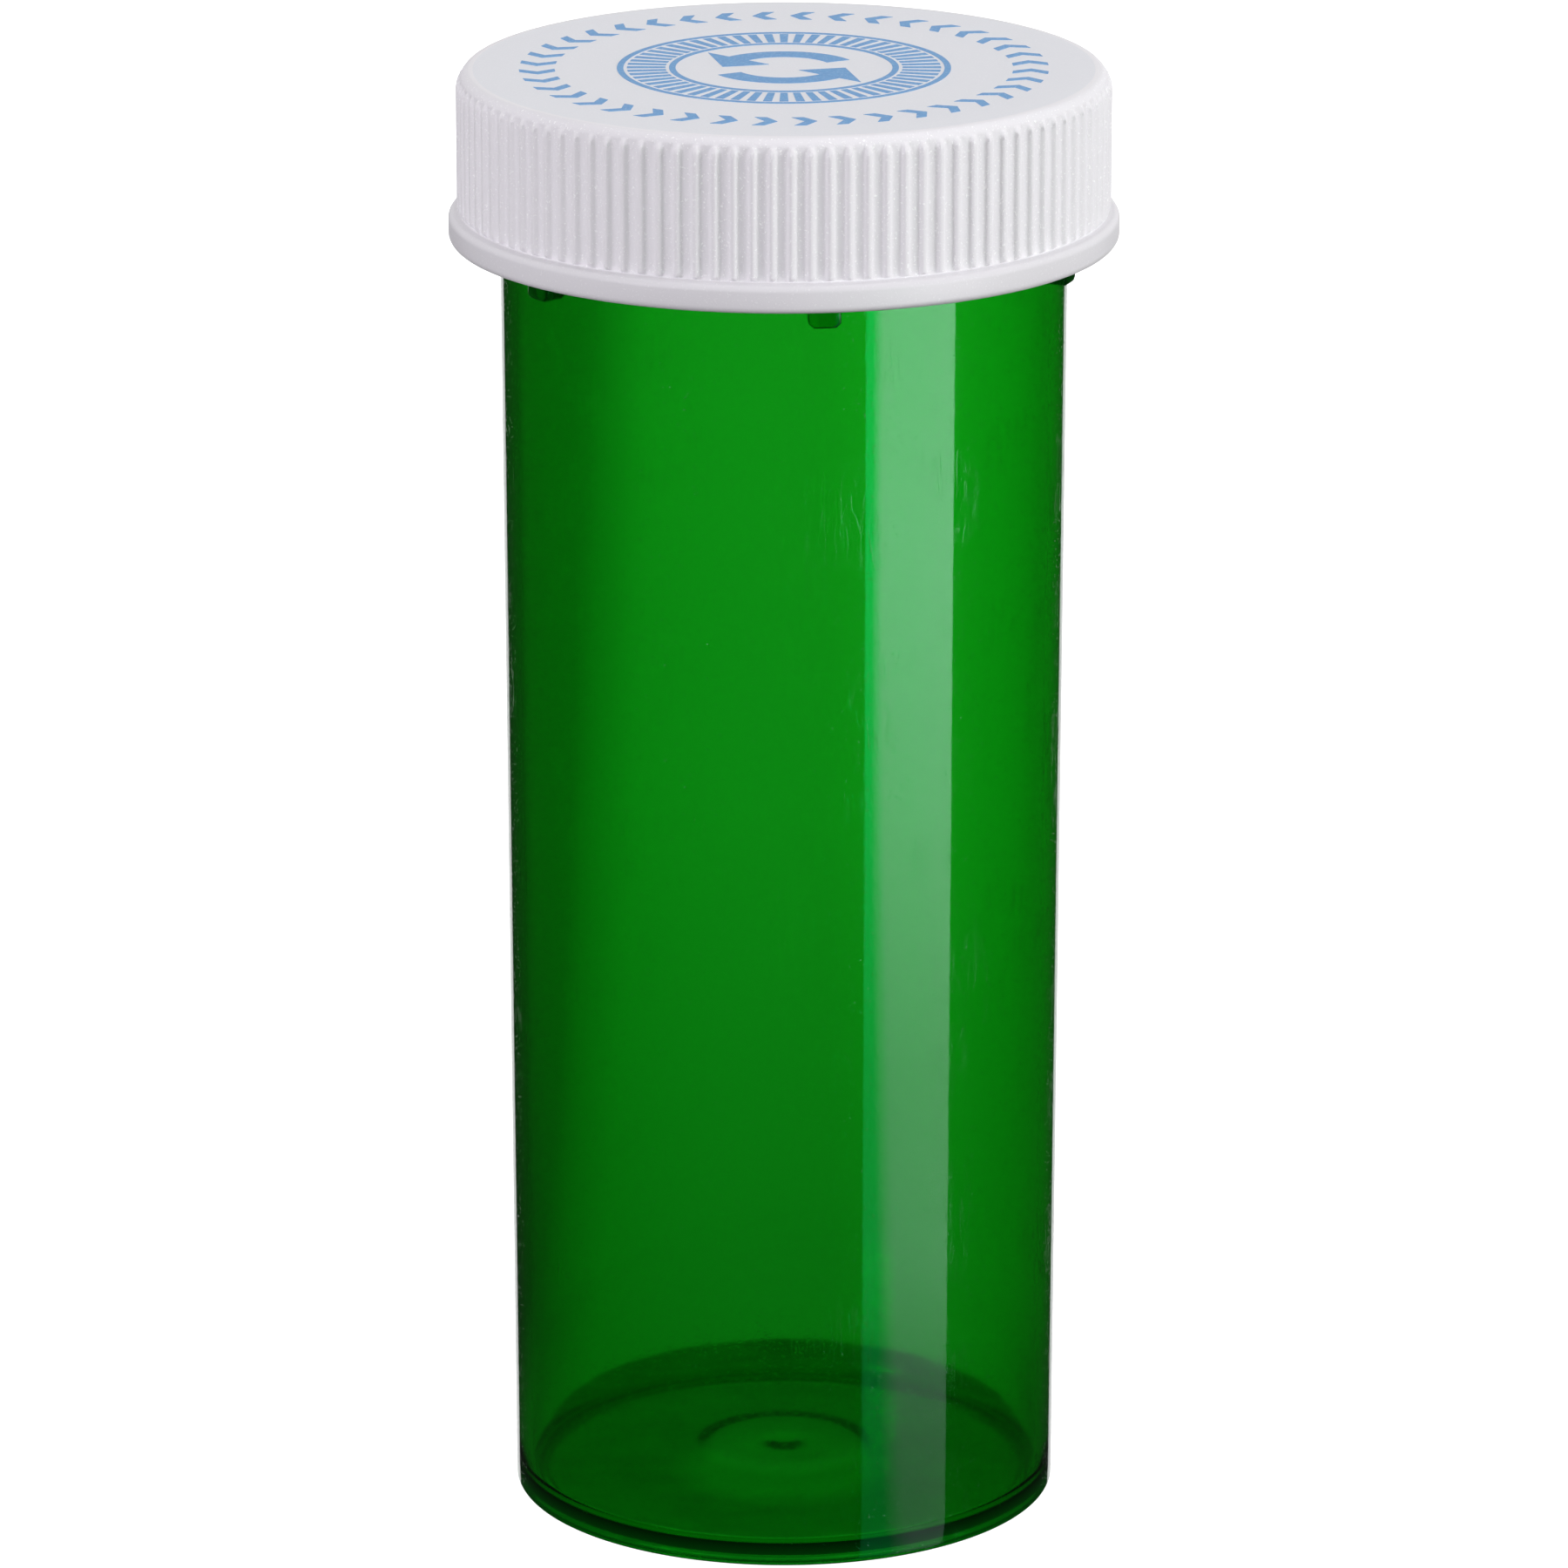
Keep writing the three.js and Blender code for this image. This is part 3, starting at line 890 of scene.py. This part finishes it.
def makeTableGlow():  # a hidden sheet, seen only through the vial, with painted shadow and painted light: the vial's shade and the light that comes up through the green plastic
    finish = Finish("table glow")
    x, y = finish.axes(finish.place())[:2]
    reach = (x * x + y * y) ** 0.5
    # painted shadow: the vial's shade, falling a little to the back
    shade = ((x / (20.5 * mm)) ** 2 + ((y - 6.5 * mm) / (23.8 * mm)) ** 2) ** 0.5
    cloud = finish.noise(finish.place(scale=(1, 1.6, 1)), 130, 3, 0.6, 1.5)
    outside = ((shade + cloud * 0.06 - 0.98) / 0.02).clamped()
    # painted light: brighter farther out from the vial
    far = ((reach - 20 * mm) / (300 * mm)).clamped()
    # painted light: brighter in the middle, under the gate well
    middle = ((8.5 * mm - reach) / (3 * mm)).clamped()
    cameraReach = 0.668
    spread = x / (1 + y / cameraReach)  # sideways place as it is seen through the wall
    back = ((y - 10 * mm) / (20 * mm)).clamped()
    # painted shade on the left and painted light on the right, towards the back, as seen through the wall
    left = ((0 - spread - 15.5 * mm) / (11 * mm)).clamped() * back
    right = ((spread - 4 * mm) / (8 * mm)).clamped() * back
    # the painted shadow under the vial, tinted green
    under = studio["tableUnder"] * (0.25 + cloud * 0.6 + middle * 0.42)
    beyond = studio["tableNear"] + far * studio["tableFar"] - (far - 0.5).clamped() * 0.45
    beyond = beyond * (1 - left * 0.5) * (1 + right * 0.3)
    level = under * (1 - outside) + outside * beyond
    finish.shine(finish.mixed(outside, (0.5, 1.0, 0.55, 1), (1, 1, 1, 1)), level)
    finish.openBelow()
    return finish


def makeSoftboxCloth():  # it fades downwards, and a green band runs along its inner edge
    finish = Finish("softbox cloth")
    x, y, z = finish.axes(finish.place())
    angle = x.sum("ARCTAN2", x, 0 - y) * (180 / math.pi)
    height = (z + 0.34) / 0.2
    below = (0.85 - height).clamped()
    first = 37.9 + below * below * 13
    full = ((angle - first) / (4 + below * 6) + 0.5).clamped()
    stops = [(0.0, 0.14), (0.0375, 0.16), (0.11, 0.21), (0.22, 0.42), (0.375, 0.45), (0.6, 0.7),
             (0.825, 0.9), (1.0, 0.86)]
    fade = finish.ramp(height, [(spot, (level, level, level, 1)) for spot, level in stops])
    colour = finish.mixed(full, (0.04, 0.9, 0.3, 1), (1, 1, 1, 1))
    finish.shine(colour, (angle > 33) * (1 + full * 0.04) * fade * studio["stripGlow"])
    return finish


def makeScreenCloth():
    finish = Finish("back screen cloth")
    cloud = finish.noise(finish.place(), 3, 2)
    finish.shine((1, 1, 1, 1), studio["backGlow"] * (0.9 + cloud * 0.2))
    return finish


def makeBackdropCloth():
    finish = Finish("backdrop cloth")
    cloud = finish.noise(finish.place(), 2, 2)
    finish.shine((1, 1, 1, 1), studio["tableWhite"] + cloud * 0.04)
    return finish


def makeRoom():
    finish = Finish("soft white room", room=True)
    z = finish.axes(finish.node("ShaderNodeTexCoord", out="Generated"))[2]
    up = ((z + 0.12) / 0.3).clamped()
    level = studio["roomLow"] + up * (studio["roomHigh"] - studio["roomLow"])
    finish.shine((1, 1, 1, 1), level, "ShaderNodeBackground")
    return finish


makeGreen().cover(vialTube)
makeWhite().cover(capShell)
makeNatural().cover(sealDisc)
makeInk().cover(printedMarks)
settle(vialTube, "vial", "vial")
settle(capShell, "cap", "cap")
settle(sealDisc, "liner", "liner")
settle(printedMarks, "cap")
print("finishes laid on")


def addTable(name, height):
    bpy.ops.object.select_all(action="DESELECT")
    bpy.ops.mesh.primitive_plane_add(size=studio["tableSize"], location=(0, 0, height))
    piece = bpy.context.object
    piece.name = name
    bpy.ops.object.transform_apply(location=True)
    bpy.ops.object.mode_set(mode="EDIT")
    bpy.ops.mesh.subdivide(number_cuts=6)
    bpy.ops.object.mode_set(mode="OBJECT")
    piece.visible_diffuse = False
    piece.visible_glossy = False  # the wall mirrors the tall softbox past the table's edge
    piece.visible_shadow = False
    return piece


def addBackdrop():  # a plain white surround for low and high views
    bpy.ops.object.select_all(action="DESELECT")
    bpy.ops.mesh.primitive_uv_sphere_add(segments=32, ring_count=16, radius=studio["backdrop"])
    piece = bpy.context.object
    piece.name = "backdrop"
    piece.visible_diffuse = False
    piece.visible_glossy = False
    piece.visible_transmission = False
    piece.visible_shadow = False
    return piece


makeBackdropCloth().cover(addBackdrop())
table = addTable("table", studio["tableHeight"])
table.visible_transmission = False
makePaper().cover(table)
glowTable = addTable("tableGlow", studio["glowHeight"])
glowTable.visible_camera = False
makeTableGlow().cover(glowTable)
bpy.context.scene.world = makeRoom().material


def softbox(name, angle, distance, height, size, power, colour):
    place = onCircle(distance, angle, height)
    bpy.ops.object.light_add(type="AREA", location=place)
    light = bpy.context.object
    light.name = name
    light.data.shape = "RECTANGLE"
    light.data.size, light.data.size_y = size
    light.data.energy = power
    light.data.color = colour
    tip = math.atan2(distance, height - studio["litHeight"])  # every softbox looks at the cap
    light.rotation_euler = (tip, 0, math.radians(angle))
    return light


def reflectedPanel(name, fromAngle, toAngle, distance, low, high, finish):
    # a curved screen that only shows in the gloss
    steps = 12
    bpy.ops.object.select_all(action="DESELECT")
    bpy.ops.mesh.primitive_grid_add(x_subdivisions=steps, y_subdivisions=6, size=1)
    panel = bpy.context.object
    panel.name = name
    for vert in panel.data.vertices:
        angle = fromAngle + (toAngle - fromAngle) * (vert.co.x + 0.5)
        vert.co = onCircle(distance, angle, low + (high - low) * (vert.co.y + 0.5))
    finish.cover(panel)
    panel.visible_camera = False
    panel.visible_diffuse = False
    panel.visible_transmission = False
    panel.visible_shadow = False


reflectedPanel("rightPanel", studio["stripFrom"], studio["stripTo"], studio["stripDistance"],
               studio["stripLow"], studio["stripHigh"], makeSoftboxCloth())
reflectedPanel("backPanel", studio["backFrom"], studio["backTo"], studio["backDistance"],
               studio["backLow"], studio["backHigh"], makeScreenCloth())
softbox("topSoftbox", 150, 0.25, 0.9, (0.7, 0.7), studio["topPower"], (0.99, 0.99, 1.0))
softbox("leftFill", -48, 1.1, 0.35, (0.35, 0.5), studio["leftPower"], (0.975, 0.94, 1.0))
rightFill = softbox("rightFill", 70, 1.1, 0.35, (0.4, 0.5), studio["rightPower"], (1, 1, 1))
underLight = softbox("underLight", 0, 1 * mm, -0.9, (1.0, 1.0), studio["underPower"], (1, 1, 1))
for light in (rightFill, underLight):
    light.visible_glossy = False  # or they show twice in the green wall
    light.visible_transmission = False
bpy.context.scene.view_settings.view_transform = "Standard"
print("table and lights ready")
